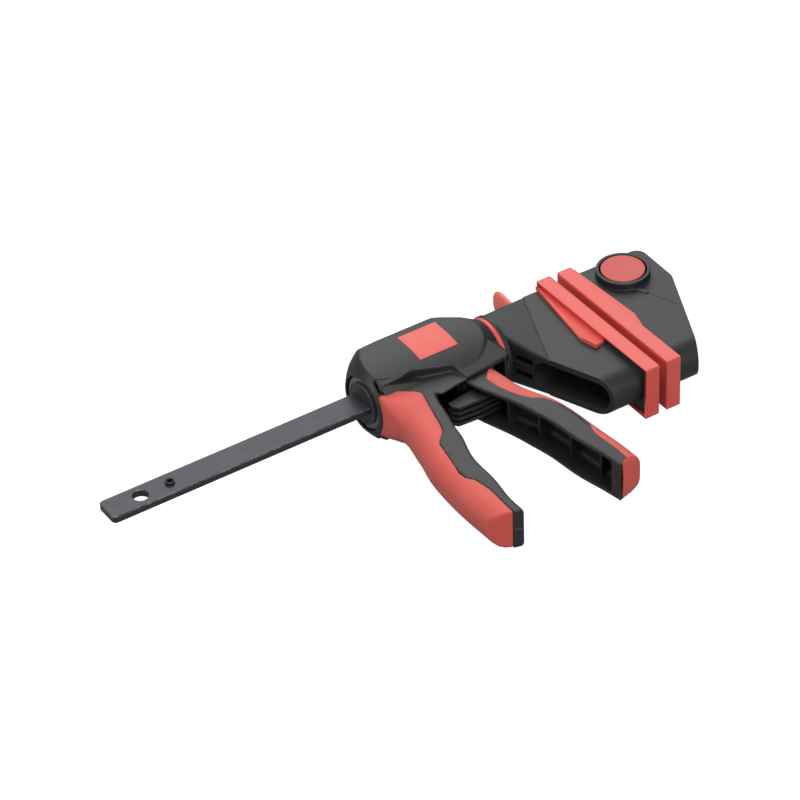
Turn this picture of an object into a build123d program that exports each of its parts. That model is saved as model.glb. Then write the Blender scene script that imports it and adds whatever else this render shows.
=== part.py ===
"""One-handed bar clamp with a turning trigger handle, a quick release and a push-button fixed jaw.

Frame: millimetres.  X runs along the bar towards the fixed jaw, -Y is the reach of the jaws, grip and
trigger, Z is the thickness of the clamp as it lies on its side.  The origin is the centre of the hanging
hole in the bar's free end.
"""
from build123d import *
from math import atan2, cos, degrees, radians, sin, tan
import os

# ---------------------------------------------------------------- driving dimensions
# bar
bar_length = 398.0
bar_width = 19.0
bar_thick = 5.0
bar_corner = 3.0            # rounded corners of the free end
bar_edge = 0.5              # broken edges
hang_hole_d = 10.5
hang_hole_inset = 24.0      # hole centre to the free end
stop_pin_d = 6.0
stop_pin_from_hole = 20.4
stop_pin_proud = 1.7
stop_pin_wall = 1.1
stop_pin_slit = 1.0

# clearances
bar_gap = 0.35              # bar in the guided pieces
seat_gap = 0.15             # bar in the fixed jaw
running_fit = 0.08          # radial play of pins and bearings
free_gap = 0.3              # between pieces of different bodies
seat = 0.05                 # between round pieces of one body

# jaws and pads
jaw_half = 13.8             # half thickness of both jaws
jaw_far = 17.5              # jaw edge beyond the bar
jaw_reach = 91.0            # bar centre to jaw tip
closed_gap = 5.4            # between the pads at rest
pad_depth = 10.3
pad_front = 4.6             # thickness of the clamping plate
pad_wall = 1.9
pad_half = 18.9
pad_far = 21.2
pad_reach = 96.3
pad_corner = 1.0
flange_recess = 1.2         # jaw flange behind the pad's rim
wing_top = 16.8
wing_wide = 10.6            # widest point of the sliding pad's side wings
fixed_wing_wide = 5.2       # and of the fixed pad's
wing_from = -42.0
wing_to = -54.0
pad_slot_gap = 0.7          # bar in the pads

# fixed jaw and its push-button lock
lock_inset = 16.4           # lock pin to the bar's end
face_to_lock = 36.7         # clamping face to lock pin
fixed_back = 26.0           # lock pin to the jaw's back
fixed_slope_from = -19.0    # where the back starts to slope
fixed_tip_back = 18.4       # back of the tip behind the pad
fixed_back_corner = 7.0
collar_r = 16.9
collar_top = 18.4
button_r = 15.2
button_thick = 4.0
button_dish = 0.7           # depth of the hollow for the thumb
button_proud = 0.4
lock_travel = 6.0
lock_pin_r = 4.0
lock_waist_r = 2.1
lock_spring_r = 6.6
lock_spring_wire = 1.1
lock_spring_turns = 3
lock_seat_z = 4.3

# sliding jaw
slide_length = 49.2         # pad back to the handle side of the jaw
neck_half = 18.4            # round-cornered root of the neck
neck_corner = 12.0
neck_edge = 1.2
crease_far = 13.8           # crease at the far edge, ahead of the pad back
crease_near = 38.0          # crease at the handle side, ahead of the pad back
crease_near_y = -46.0
crease_wide = 0.8
crease_deep = 0.6
slide_tip_x = 23.0          # handle side of the tip, ahead of the pad back
pocket_r = 9.6
pocket_depth = 21.0
pocket_from = -44.0
pocket_to = -78.5

# brake and release lever
brake_thick = 3.0
brake_half = 7.0
brake_tilt = 7.0            # degrees, plate canted on the bar
brake_pivot_y = -14.5
brake_x = 25.5              # brake plate behind the pad back
brake_room = 9.4            # half width of its chamber
lever_thick = 6.0
lever_back = 2.5            # from the brake plate's middle to the lever's handle side
lever_half = 8.8            # in the brake's chamber
lever_flare = 10.4          # above the jaw
lever_tip_half = 8.0
lever_tip_y = 42.6
lever_corner = 3.0
lever_from = 17.4           # lower end of the tab
lever_plate = 12.0          # length of the plate inside the tab
brake_spring_r = 2.8
brake_spring_wire = 0.8
brake_spring_turns = 4
brake_spring_y = 13.4
coil_sides = 5              # flats of the springs' wire

# guide core that the handle turns on
core_r = 14.0
core_bore = 12.0
core_end_to_jaw = 98.0      # front end of the core to the sliding jaw
core_solid = 29.0           # length of the core's front bearing
ring_r = 21.2
ring_wide = 4.3
clip_wide = 1.2
clip_r = 17.0
washer_r = 18.0
washer_thick = 0.9

# drive: plate, thrust ring and spring inside the handle
drive_thick = 4.0
drive_half = 7.0
drive_reach = 17.0
thrust_r = 18.4
thrust_wide = 4.0
drive_spring_r = 11.0
drive_spring_wire = 1.6
drive_spring_turns = 4

# handle housing
house_half = 25.0           # half thickness
house_far = 25.2
house_side = 18.0           # height at which the far side rounds over
house_crown = [(18.5, 24.8), (2.0, 25.0), (-12.0, 22.9), (-26.0, 18.0)]     # Y and Z of the top face
house_nose = [(0.0, 19.8), (3.4, 24.2), (6.6, 27.6), (12.6, 32.0)]          # behind the front, radius
house_tail = [(30.0, 33.9), (10.0, 26.4), (0.0, 21.2)]                      # ahead of the rear, radius
house_wall = 3.2
bevel_wall = 2.4
house_rear_wall = 4.6
skirt_y = -33.0
skirt_top = 14.8
facet_top = 15.0            # lower side facet above the grip

# trigger
trigger_half = 13.2         # beside the housing
trigger_wall = 2.6
trigger_front = 6.0         # wall between the hollow and the front
trigger_skin = 1.5          # thickness of the soft cover
trigger_tip = 4.2
rib_thick = 1.4
rib_sunk = 8.0              # ribs below the trigger's rear edge
rib_stations = [-56.0, -79.0, -105.0, -131.0]
pivot_r = 2.5
pivot_y = 17.0
pivot_x = 20.0              # pivot ahead of the housing's rear face
pivot_half = 20.8
yoke_in = 14.4
yoke_out = 16.6
yoke_eye = 4.5
trigger_pull = 21.0         # degrees
fin_thick = 2.0
fin_pitch = 4.2
fin_count = 4
skin = 2.4                  # thickness of the soft grip cover
barrel_r = 24.5             # round root of the grip behind the housing's front
barrel_long = 16.0
barrel_from = -1.0          # start of the root from grip_x
barrel_half = 15.0

# ---------------------------------------------------------------- places along the bar
bar_free = -hang_hole_inset
bar_end = bar_free + bar_length
lock_x = bar_end - lock_inset
fixed_face = lock_x - face_to_lock
fixed_pad_back = fixed_face + pad_depth
slide_face = fixed_face - closed_gap
slide_pad_back = slide_face - pad_depth
jaw_left = slide_pad_back - slide_length
core_front = jaw_left - core_end_to_jaw
ring_x = jaw_left - 0.8 - ring_wide
house_rear = ring_x - free_gap
house_front = core_front + 0.4
pivot = (house_rear - pivot_x, pivot_y)
thrust_x = pivot[0] - 6.7 - thrust_wide
drive_x = thrust_x - drive_thick
drive_travel = pivot_y * sin(radians(trigger_pull))

half_bar = bar_width / 2
half_thick = bar_thick / 2


def closed(points, mode=Mode.ADD):
    """A straight-sided face through the points, in the sketch being built."""
    Polygon(*points, align=None, mode=mode)


def house_envelope(inset):
    """Turned outline of the housing with its bevelled ends, drawn in by inset."""
    closed([(house_front, 0)] + [(house_front + dx, r - inset) for dx, r in house_nose]
           + [(house_rear - dx, r - inset) for dx, r in house_tail] + [(house_rear, 0)])


def lever_section(y, back, front, half, back_r, front_r):
    """One rounded cross-section of a grip or trigger, square to Y."""
    with BuildSketch(Plane.XZ.offset(-y)) as section:
        with Locations(((back + front) / 2, 0)):
            Rectangle(front - back, 2 * half)
        fillet(section.vertices().group_by(Axis.X)[0], back_r)
        fillet(section.vertices().group_by(Axis.X)[-1], front_r)
    return section.sketch


def bar_channel(gap, start, end):
    """Cut the way for the bar from start to end."""
    with Locations(((start + end) / 2, 0, 0)):
        Box(end - start, bar_width + 2 * gap, bar_thick + 2 * gap, mode=Mode.SUBTRACT)


def coil(radius, wire, turns, length):
    """Compression spring along +Z from the origin."""
    pitch = (length - wire) / turns
    with BuildPart() as spring:
        with BuildLine(Plane.XY.offset(wire / 2)) as path:
            Helix(pitch=pitch, height=pitch * turns, radius=radius)
        with BuildSketch(Plane(origin=path.line @ 0, z_dir=path.line % 0)):
            RegularPolygon(wire / 2, coil_sides)
        sweep(path=path.line, is_frenet=True)
    return spring.part


# ---------------------------------------------------------------- bar and stop pin
with BuildPart() as bar:
    with BuildSketch() as bar_plan:
        with Locations(((bar_free + bar_end) / 2, 0)):
            Rectangle(bar_length, bar_width)
        fillet(bar_plan.vertices().group_by(Axis.X)[0], bar_corner)
    extrude(amount=half_thick, both=True)
    chamfer(bar.edges().filter_by(Axis.X), bar_edge)
    Hole(hang_hole_d / 2)
    with Locations((stop_pin_from_hole, 0)):
        Hole(stop_pin_d / 2)
    with Locations((lock_x, 0)):
        Hole(lock_pin_r + running_fit)
    # the way out for the narrow waist of the lock pin
    with Locations((lock_x + lock_inset / 2, 0, 0)):
        Box(lock_inset, 2 * (lock_waist_r + free_gap), bar_thick, mode=Mode.SUBTRACT)
bar.part.label = "bar"

with BuildPart() as stop_pin:
    with BuildSketch(Plane.XY.offset(-half_thick - stop_pin_proud)):
        with Locations((stop_pin_from_hole, 0)):
            Circle(stop_pin_d / 2)
            Circle(stop_pin_d / 2 - stop_pin_wall, mode=Mode.SUBTRACT)
        with Locations((stop_pin_from_hole + stop_pin_d / 2, 0)):
            Rectangle(stop_pin_d, stop_pin_slit, mode=Mode.SUBTRACT)
    extrude(amount=bar_thick + 2 * stop_pin_proud)
stop_pin.part.label = "stop_pin"

# ---------------------------------------------------------------- pads
wing_root = pad_far - pad_wall
hollow = pad_depth - pad_front      # depth of the hollow for the jaw's flange
pads = {}
for pad_name, pad_back, way, wing in (("sliding_pad", slide_pad_back, 1, wing_wide),
                                      ("fixed_pad", fixed_pad_back, -1, fixed_wing_wide)):
    with BuildPart() as pad:
        with Locations((pad_back + way * pad_depth / 2, (pad_far - pad_reach) / 2, 0)):
            Box(pad_depth, pad_far + pad_reach, 2 * pad_half)
        rim = pad.faces().sort_by(Axis.X)[0 if way > 0 else -1]
        fillet(pad.edges() - rim.edges(), pad_corner)
        with Locations((pad_back + way * hollow / 2, (pad_far - pad_reach) / 2, 0)):
            Box(hollow, pad_far + pad_reach - 2 * pad_wall, 2 * (pad_half - pad_wall), mode=Mode.SUBTRACT)
        # wings that grip the jaw from both sides
        for side in (1, -1):
            with BuildSketch(Plane.XY.offset(side * jaw_half)):
                closed([(pad_back + way * flange_recess, wing_root), (pad_back - way * 2.2, wing_root),
                        (pad_back - way * wing, wing_from), (pad_back - way * (wing - 3.2), wing_to),
                        (pad_back + way * flange_recess, wing_to + 3)])
            extrude(amount=side * (wing_top - jaw_half))
        bar_channel(pad_slot_gap, pad_back - pad_depth - 1, pad_back + pad_depth + 1)
    pad.part.label = pad_name
    pads[pad_name] = pad

# ---------------------------------------------------------------- fixed jaw
flange_half = pad_half - pad_wall
flange_far = pad_far - pad_wall
flange_tip = pad_reach - pad_wall
fixed_right = lock_x + fixed_back
tip_r = jaw_half

with BuildPart() as fixed_jaw:
    with BuildSketch() as fixed_plan:
        closed([(fixed_pad_back - flange_recess, jaw_far), (fixed_right, jaw_far),
                (fixed_right - 1.2, fixed_slope_from), (fixed_pad_back + fixed_tip_back, -jaw_reach),
                (fixed_pad_back - flange_recess, -jaw_reach)])
        corners = fixed_plan.vertices().sort_by(Axis.X)[-2:]
        fillet(corners, fixed_back_corner)
    extrude(amount=jaw_half, both=True)
    # the tip is rounded over like a bullnose
    with BuildSketch(Plane.YZ.offset(fixed_face)):
        with Locations((-(jaw_reach - tip_r - jaw_far) / 2, 0)):
            Rectangle(jaw_reach - tip_r + jaw_far, 2 * jaw_half)
        with Locations((-jaw_reach + tip_r, 0)):
            Circle(tip_r)
    extrude(amount=fixed_right - fixed_face, mode=Mode.INTERSECT)
    # flange inside the pad
    flange_thick = hollow - flange_recess
    with Locations((fixed_pad_back - flange_recess - flange_thick / 2, (flange_far - flange_tip) / 2, 0)):
        Box(flange_thick, flange_far + flange_tip, 2 * flange_half)
    with BuildSketch(Plane.XY.offset(jaw_half - 1)):
        with Locations((lock_x, 0)):
            Circle(collar_r)
    extrude(amount=collar_top - jaw_half + 1)
    bar_channel(seat_gap, fixed_face - 1, bar_end + 1)
    # button well, spring seat and pin bore
    with BuildSketch(Plane.XY.offset(collar_top + 1)):
        with Locations((lock_x, 0)):
            Circle(button_r + free_gap)
    well_floor = collar_top + button_proud - button_thick - lock_travel - free_gap
    extrude(amount=well_floor - collar_top - 1, mode=Mode.SUBTRACT)
    with BuildSketch(Plane.XY.offset(lock_seat_z)):
        with Locations((lock_x, 0)):
            Circle(lock_spring_r + lock_spring_wire / 2 + 0.6)
    extrude(amount=well_floor - lock_seat_z, mode=Mode.SUBTRACT)
    pin_bore_low = half_thick + lock_travel + 3.2
    with BuildSketch(Plane.XY.offset(-pin_bore_low)):
        with Locations((lock_x, 0)):
            Circle(lock_pin_r + running_fit)
    extrude(amount=pin_bore_low + lock_seat_z, mode=Mode.SUBTRACT)
fixed_jaw.part.label = "fixed_jaw"

button_top = collar_top + button_proud
button_under = button_top - button_thick
with BuildPart() as lock_button:
    with BuildSketch(Plane.XY.offset(button_under)):
        with Locations((lock_x, 0)):
            Circle(button_r)
    extrude(amount=button_thick)
    chamfer(lock_button.edges().group_by(Axis.Z)[-1], 0.5)
    # shallow ball-shaped hollow for the thumb
    dish_wide = button_r - 1.6
    dish_r = (dish_wide ** 2 + button_dish ** 2) / (2 * button_dish)
    with Locations((lock_x, 0, button_top - button_dish + dish_r)):
        Sphere(dish_r, mode=Mode.SUBTRACT)
lock_button.part.label = "lock_button"

pin_low = half_thick + 2.4
waist_low = half_thick + 0.5
with BuildPart() as lock_pin:
    with BuildSketch(Plane.XZ) as pin_half:
        closed([(lock_x, -pin_low), (lock_x + lock_pin_r, -pin_low), (lock_x + lock_pin_r, waist_low),
                (lock_x + lock_waist_r, waist_low), (lock_x + lock_waist_r, waist_low + lock_travel),
                (lock_x + lock_pin_r, waist_low + lock_travel), (lock_x + lock_pin_r, button_under),
                (lock_x, button_under)])
    revolve(axis=Axis((lock_x, 0, 0), (0, 0, 1)))
lock_pin.part.label = "lock_pin"

with BuildPart() as lock_spring:
    lock_coil = coil(lock_spring_r, lock_spring_wire, lock_spring_turns, button_under - lock_seat_z)
    add(lock_coil.moved(Location((lock_x, 0, lock_seat_z))))
lock_spring.part.label = "lock_spring"

# ---------------------------------------------------------------- sliding jaw
slide_tip = slide_pad_back - slide_tip_x
tip_slope = 8.0             # rise of the tip's slanted corner
brake_base = slide_pad_back - brake_x
tilt = radians(brake_tilt)

# the crease where the neck's sloping faces meet the flat of the jaw
crease_top = Vector(slide_pad_back - crease_far, jaw_far)
crease_low = Vector(slide_pad_back - crease_near, crease_near_y)
crease_way = (crease_top - crease_low).normalized()
crease_plane = Plane(origin=(crease_top + crease_low) / 2, x_dir=crease_way,
                     z_dir=(crease_way.Y, -crease_way.X, 0))
crease_long = (crease_top - crease_low).length
crease_tilt = degrees(atan2(crease_way.Y, crease_way.X))

# the oval pocket lies square to the sloping handle side
slope_way = (Vector(slide_tip, tip_slope - jaw_reach) - crease_low).normalized()
pocket_mid = (pocket_from + pocket_to) / 2
pocket_x = crease_low.X + (pocket_mid - crease_near_y) * slope_way.X / slope_way.Y
pocket_plane = Plane(origin=(pocket_x, pocket_mid, 0), x_dir=slope_way, z_dir=(slope_way.Y, -slope_way.X, 0))
pocket_long = (pocket_from - pocket_to) / abs(slope_way.Y)

with BuildPart() as neck_form:
    with BuildSketch(Plane.YZ.offset(jaw_left)):
        RectangleRounded(2 * neck_half, 2 * neck_half, neck_corner)
    with BuildSketch(crease_plane):
        RectangleRounded(crease_long, 2 * jaw_half, neck_edge)
    loft()

with BuildPart() as sliding_jaw:
    with BuildSketch():
        closed([(crease_top.X, crease_top.Y), (slide_pad_back + flange_recess, jaw_far),
                (slide_pad_back + flange_recess, -jaw_reach), (slide_tip + 3, -jaw_reach),
                (slide_tip, tip_slope - jaw_reach), (crease_low.X, crease_low.Y)])
    extrude(amount=jaw_half, both=True)
    with BuildSketch(Plane.YZ.offset(jaw_left)):
        with Locations((-(jaw_reach - tip_r - jaw_far) / 2, 0)):
            Rectangle(jaw_reach - tip_r + jaw_far, 2 * jaw_half)
        with Locations((-jaw_reach + tip_r, 0)):
            Circle(tip_r)
    extrude(amount=slide_face - jaw_left, mode=Mode.INTERSECT)
    add(neck_form.part)
    # groove along the crease on both sides
    for side in (1, -1):
        with BuildSketch(Plane.XY.offset(side * (jaw_half - crease_deep))):
            with Locations(Location(crease_plane.origin, (0, 0, crease_tilt))):
                Rectangle(crease_long + 4, crease_wide)
        extrude(amount=side * 2, mode=Mode.SUBTRACT)
    with Locations((slide_pad_back + flange_recess + flange_thick / 2, (flange_far - flange_tip) / 2, 0)):
        Box(flange_thick, flange_far + flange_tip, 2 * flange_half)
    # spigot that carries the guide core
    with BuildSketch(Plane.YZ.offset(jaw_left)):
        Circle(core_bore - seat)
    extrude(amount=-(jaw_left - thrust_x - thrust_wide - 2))
    bar_channel(bar_gap, thrust_x, slide_face + 1)
    # oval pocket in the handle side
    with BuildSketch(pocket_plane):
        SlotOverall(pocket_long + 2 * pocket_r, 2 * pocket_r)
    extrude(amount=pocket_depth, both=True, mode=Mode.SUBTRACT)
    # slots beside the neck
    with Locations((jaw_left + 4, -27, 5.4), (jaw_left + 4, -27, -5.4)):
        Box(13, 15, 5, mode=Mode.SUBTRACT)
    # chamber of the brake plate, open on the far side for the release lever
    chamber_left = brake_base - 7.5
    chamber_right = brake_base + 9.5
    with Locations(((chamber_left + chamber_right) / 2, (brake_pivot_y + jaw_far) / 2 + 1, 0)):
        Box(chamber_right - chamber_left, jaw_far - brake_pivot_y + 2, 2 * brake_room, mode=Mode.SUBTRACT)
    # round seat in which the plate rocks
    with BuildSketch(Plane.XY.offset(-brake_room)):
        with Locations((brake_base, brake_pivot_y)):
            Circle(brake_thick / 2 + running_fit)
    extrude(amount=2 * brake_room, mode=Mode.SUBTRACT)
    with BuildSketch(Plane.YZ.offset(chamber_left)):
        with Locations((brake_spring_y, 0)):
            Circle(brake_spring_r + brake_spring_wire / 2 + free_gap)
    extrude(amount=-6, mode=Mode.SUBTRACT)
sliding_jaw.part.label = "sliding_jaw"

# ---------------------------------------------------------------- brake plate and release lever
plate_plane = Plane(origin=(brake_base, brake_pivot_y, 0), x_dir=(sin(tilt), cos(tilt), 0),
                    z_dir=(cos(tilt), -sin(tilt), 0))
hole_half = (half_bar + 0.06 + brake_thick / 2 * sin(tilt)) / cos(tilt)
hole_mid = -brake_pivot_y / cos(tilt)
lever_low = (lever_from - brake_pivot_y) / cos(tilt)
plate_top = lever_low + lever_plate

with BuildPart() as brake_plate:
    with BuildSketch(plate_plane):
        with Locations((plate_top / 2, 0)):
            Rectangle(plate_top, 2 * brake_half)
        with Locations((hole_mid, 0)):
            Rectangle(2 * hole_half, bar_thick + 2 * bar_gap, mode=Mode.SUBTRACT)
    extrude(amount=brake_thick / 2, both=True)
    with BuildSketch(Plane.XY.offset(-brake_half)):
        with Locations((brake_base, brake_pivot_y)):
            Circle(brake_thick / 2)
    extrude(amount=2 * brake_half)
brake_plate.part.label = "brake_plate"

with BuildPart() as release_lever:
    lever_neck = (jaw_far + 1.0 - brake_pivot_y) / cos(tilt)
    lever_end = (lever_tip_y - brake_pivot_y) / cos(tilt)
    with BuildSketch(plate_plane.offset(-lever_back)) as lever_face:
        closed([(lever_low, -lever_half), (lever_low, lever_half), (lever_neck, lever_half),
                (lever_neck + 1, lever_flare), (lever_end, lever_tip_half), (lever_end, -lever_tip_half),
                (lever_neck + 1, -lever_flare), (lever_neck, -lever_half)])
        fillet(lever_face.vertices().group_by(Axis.X)[-1], lever_corner)
    extrude(amount=lever_thick)
    lever_rims = release_lever.faces().sort_by(Axis(plate_plane.origin, plate_plane.z_dir))
    chamfer(lever_rims[0].edges() + lever_rims[-1].edges(), 0.8)
    add(brake_plate.part, mode=Mode.SUBTRACT)
release_lever.part.label = "release_lever"

spring_right = brake_base + (brake_spring_y - brake_pivot_y) * tan(tilt) - brake_thick / 2 - 0.6
with BuildPart() as brake_spring:
    brake_coil = coil(brake_spring_r, brake_spring_wire, brake_spring_turns,
                      spring_right - chamber_left + 5.8)
    add(brake_coil.rotate(Axis.Y, 90).moved(Location((chamber_left - 5.8, brake_spring_y, 0))))
brake_spring.part.label = "brake_spring"

# ---------------------------------------------------------------- guide core, ring, washer and clip
bore_start = core_front + core_solid
clip_x = house_front + 1.0
with BuildPart() as guide_core:
    with BuildSketch(Plane.YZ.offset(core_front)):
        Circle(core_r)
    extrude(amount=jaw_left - core_front)
    with BuildSketch(Plane.YZ.offset(bore_start)):
        Circle(core_bore)
    extrude(amount=jaw_left - bore_start, mode=Mode.SUBTRACT)
    bar_channel(bar_gap, core_front - 1, bore_start + 1)
    # windows for the ends of the drive plate
    window_left = drive_x - drive_travel - 1
    window_right = thrust_x + 0.6
    with Locations(((window_left + window_right) / 2, 0, 0)):
        Box(window_right - window_left, 4 * core_r, 2 * (drive_half + free_gap), mode=Mode.SUBTRACT)
    # groove of the retaining clip
    with BuildSketch(Plane.YZ.offset(clip_x)):
        Circle(core_r + 1)
        Circle(core_r - 1.2, mode=Mode.SUBTRACT)
    extrude(amount=clip_wide, mode=Mode.SUBTRACT)
guide_core.part.label = "guide_core"

with BuildPart() as swivel_ring:
    with BuildSketch(Plane.YZ.offset(ring_x)):
        Circle(ring_r)
        Circle(core_r + seat, mode=Mode.SUBTRACT)
    extrude(amount=ring_wide + 0.8)
    chamfer(swivel_ring.edges().filter_by(GeomType.CIRCLE).sort_by(SortBy.RADIUS)[-2:], 0.6)
swivel_ring.part.label = "swivel_ring"

with BuildPart() as retaining_clip:
    with BuildSketch(Plane.YZ.offset(clip_x)):
        Circle(clip_r)
        Circle(core_r - 1.1, mode=Mode.SUBTRACT)
        with Locations((0, -core_r)):
            Rectangle(3, 8, mode=Mode.SUBTRACT)
    extrude(amount=clip_wide)
retaining_clip.part.label = "retaining_clip"

with BuildPart() as front_washer:
    with BuildSketch(Plane.YZ.offset(clip_x + clip_wide)):
        Circle(washer_r)
        Circle(core_r + running_fit, mode=Mode.SUBTRACT)
    extrude(amount=washer_thick)
front_washer.part.label = "front_washer"

# ---------------------------------------------------------------- drive plate, thrust ring, spring
with BuildPart() as drive_plate:
    with BuildSketch(Plane.YZ.offset(drive_x)):
        Rectangle(2 * drive_reach, 2 * drive_half)
        Rectangle(bar_width + 2 * bar_gap, bar_thick + 2 * bar_gap, mode=Mode.SUBTRACT)
    extrude(amount=drive_thick)
drive_plate.part.label = "drive_plate"

with BuildPart() as thrust_ring:
    with BuildSketch(Plane.YZ.offset(thrust_x)):
        Circle(thrust_r)
        Circle(core_r + free_gap, mode=Mode.SUBTRACT)
    extrude(amount=thrust_wide)
thrust_ring.part.label = "thrust_ring"

with BuildPart() as drive_spring:
    drive_coil = coil(drive_spring_r, drive_spring_wire, drive_spring_turns, drive_x - bore_start)
    add(drive_coil.rotate(Axis.Y, 90).moved(Location((bore_start, 0, 0))))
drive_spring.part.label = "drive_spring"

# ---------------------------------------------------------------- handle
grip_x = house_front + 2.4
# Y, palm side and front from grip_x, half thickness
grip_stations = [(-10, 1.0, 35.0, 15.0), (-24, 1.0, 34.0, 15.0), (-32, 0.8, 31.0, 15.0),
                 (-41, 1.2, 28.0, 14.9), (-51, -0.4, 26.0, 14.7), (-62, -2.9, 23.4, 14.5),
                 (-74, -5.8, 21.0, 14.5), (-86, -8.3, 17.6, 14.5), (-99, -9.6, 14.2, 14.5),
                 (-114, -10.3, 13.4, 14.5), (-129, -10.2, 12.2, 14.4), (-143, -9.8, 10.4, 14.2),
                 (-160, -9.0, 8.6, 13.8)]
# the slanted end, from the palm side to the front
grip_end = [(-9.4, -144.6), (-4.6, -150.6), (3.8, -154.5), (9.4, -156.1), (14.0, -156.5)]
palm_r = 12.6
grip_edge = 2.4

with BuildPart() as grip_end_form:
    with BuildSketch(Plane.XY.offset(-house_half)):
        closed([(grip_x - 40, 0), (grip_x - 40, -138)] + [(grip_x + dx, y) for dx, y in grip_end]
               + [(grip_x + 40, -156), (grip_x + 40, 0)])
    extrude(amount=2 * house_half)

# round root of the grip behind the housing's front
with BuildPart() as barrel_form:
    with BuildSketch(Plane.YZ.offset(grip_x + barrel_from)):
        Circle(barrel_r)
        closed([(-30, -barrel_half), (-10, -barrel_half), (-10, barrel_half), (-30, barrel_half)],
               mode=Mode.INTERSECT)
    extrude(amount=barrel_long)
    with BuildSketch():
        house_envelope(0)
    revolve(axis=Axis.X, mode=Mode.INTERSECT)

with BuildPart() as grip_form:
    for y, back, front, half in grip_stations:
        add(lever_section(y, grip_x + back, grip_x + front, half, palm_r, grip_edge))
    loft()
    add(barrel_form.part)
    add(grip_end_form.part, mode=Mode.INTERSECT)

with BuildPart() as grip_inner:
    for y, back, front, half in grip_stations[:-1]:
        add(lever_section(y, grip_x + back + skin, grip_x + front, half - skin, palm_r - skin, grip_edge))
    loft()
    with BuildSketch(Plane.YZ.offset(grip_x - 10)):
        Circle(barrel_r - skin)
    extrude(amount=60)

cover_edge = [(-6.0, -13.6), (1.6, -12.6), (8.6, -15.4), (20.4, -24.6), (23.6, -28.6), (19.6, -43.0),
              (15.6, -60.0), (12.6, -68.0), (8.6, -72.0), (4.6, -76.0), (1.6, -91.0), (-1.4, -106.0),
              (-0.4, -113.0), (2.6, -117.0), (4.6, -129.0), (3.8, -165.0)]
with BuildPart() as grip_cover:
    add(grip_form.part)
    with BuildSketch(Plane.XY.offset(-30)):
        closed([(grip_x + dx, y) for dx, y in cover_edge] + [(grip_x - 40, -165), (grip_x - 40, -13.6)])
    extrude(amount=60, mode=Mode.INTERSECT)
    add(grip_inner.part, mode=Mode.SUBTRACT)
    with BuildSketch(Plane.YZ.offset(house_front)):
        Circle(washer_r + 1.2)
    extrude(amount=60, mode=Mode.SUBTRACT)
grip_cover.part.label = "grip_cover"


with BuildPart() as house_form:
    with BuildSketch(Plane.YZ.offset(house_front)):
        with BuildLine():
            crown = Spline(*house_crown)
            belly = Spline(*[(y, -z) for y, z in house_crown])
            Line(crown @ 1, belly @ 1)
            side = Line((house_far, -house_side), (house_far, house_side))
            TangentArc(side @ 1, crown @ 0, tangent=(0, 1))
            TangentArc(side @ 0, belly @ 0, tangent=(0, -1))
        make_face()
    extrude(amount=house_rear - house_front)
    with BuildSketch(Plane.XY):
        house_envelope(0)
    revolve(axis=Axis.X, mode=Mode.INTERSECT)

skirt_left = house_front + 16
with BuildPart() as skirt_form:
    with BuildSketch():
        closed([(skirt_left, -8), (house_rear - 0.6, -8), (house_rear - 1.2, -27), (house_rear - 4, -30),
                (house_rear - 35, skirt_y), (house_rear - 56.5, -36.6), (house_rear - 66, -27),
                (skirt_left, -19)])
    extrude(amount=house_half, both=True)
    with BuildSketch(Plane.YZ.offset(skirt_left)):
        closed([(-8, 22.8), (skirt_y - 4, skirt_top), (skirt_y - 4, -skirt_top), (-8, -22.8)])
    extrude(amount=house_rear - skirt_left, mode=Mode.INTERSECT)
    # rear bevel of the skirt
    with BuildSketch(Plane.XZ):
        closed([(skirt_left - 1, -26), (skirt_left - 1, 26), (house_rear - 15, 26),
                (house_rear, 15.4), (house_rear, -15.4), (house_rear - 15, -26)])
    extrude(amount=40, mode=Mode.INTERSECT)

room_left = house_front + 18
room_right = house_rear - house_rear_wall
room_half = house_half - house_wall
shoulder_from = room_left + 36
shoulder_to = house_rear - 8
with BuildPart() as room_limit:
    with BuildSketch():
        house_envelope(bevel_wall)
    revolve(axis=Axis.X)
    # the yoke's shoulder reaches into the skirt
    with Locations(((shoulder_from + shoulder_to) / 2, -20, 0)):
        Box(shoulder_to - shoulder_from, 16, 2 * (yoke_out + 0.8))

with BuildPart() as room:
    with BuildSketch():
        closed([(room_left, -9), (room_left + 13, -11), (shoulder_from, -18.5), (shoulder_from + 5, -26.5),
                (room_right, -26.5), (room_right, house_far - house_wall),
                (room_left, house_far - house_wall)])
    extrude(amount=room_half, both=True)
    with BuildSketch(Plane.YZ.offset(room_left - 1)):
        closed([(house_far, -room_half), (house_far, room_half), (-7.5, room_half),
                (-27, 15.3), (-27, -15.3), (-7.5, -room_half)])
    extrude(amount=room_right - room_left + 2, mode=Mode.INTERSECT)
    add(room_limit.part, mode=Mode.INTERSECT)

# bosses for the ends of the pivot pin
with BuildPart() as boss_form:
    for side in (1, -1):
        with BuildSketch(Plane.XY.offset(side * (yoke_out + 0.4))):
            with Locations(pivot):
                Circle(yoke_eye)
        extrude(amount=side * (house_half - yoke_out))
    add(house_form.part, mode=Mode.INTERSECT)

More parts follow.
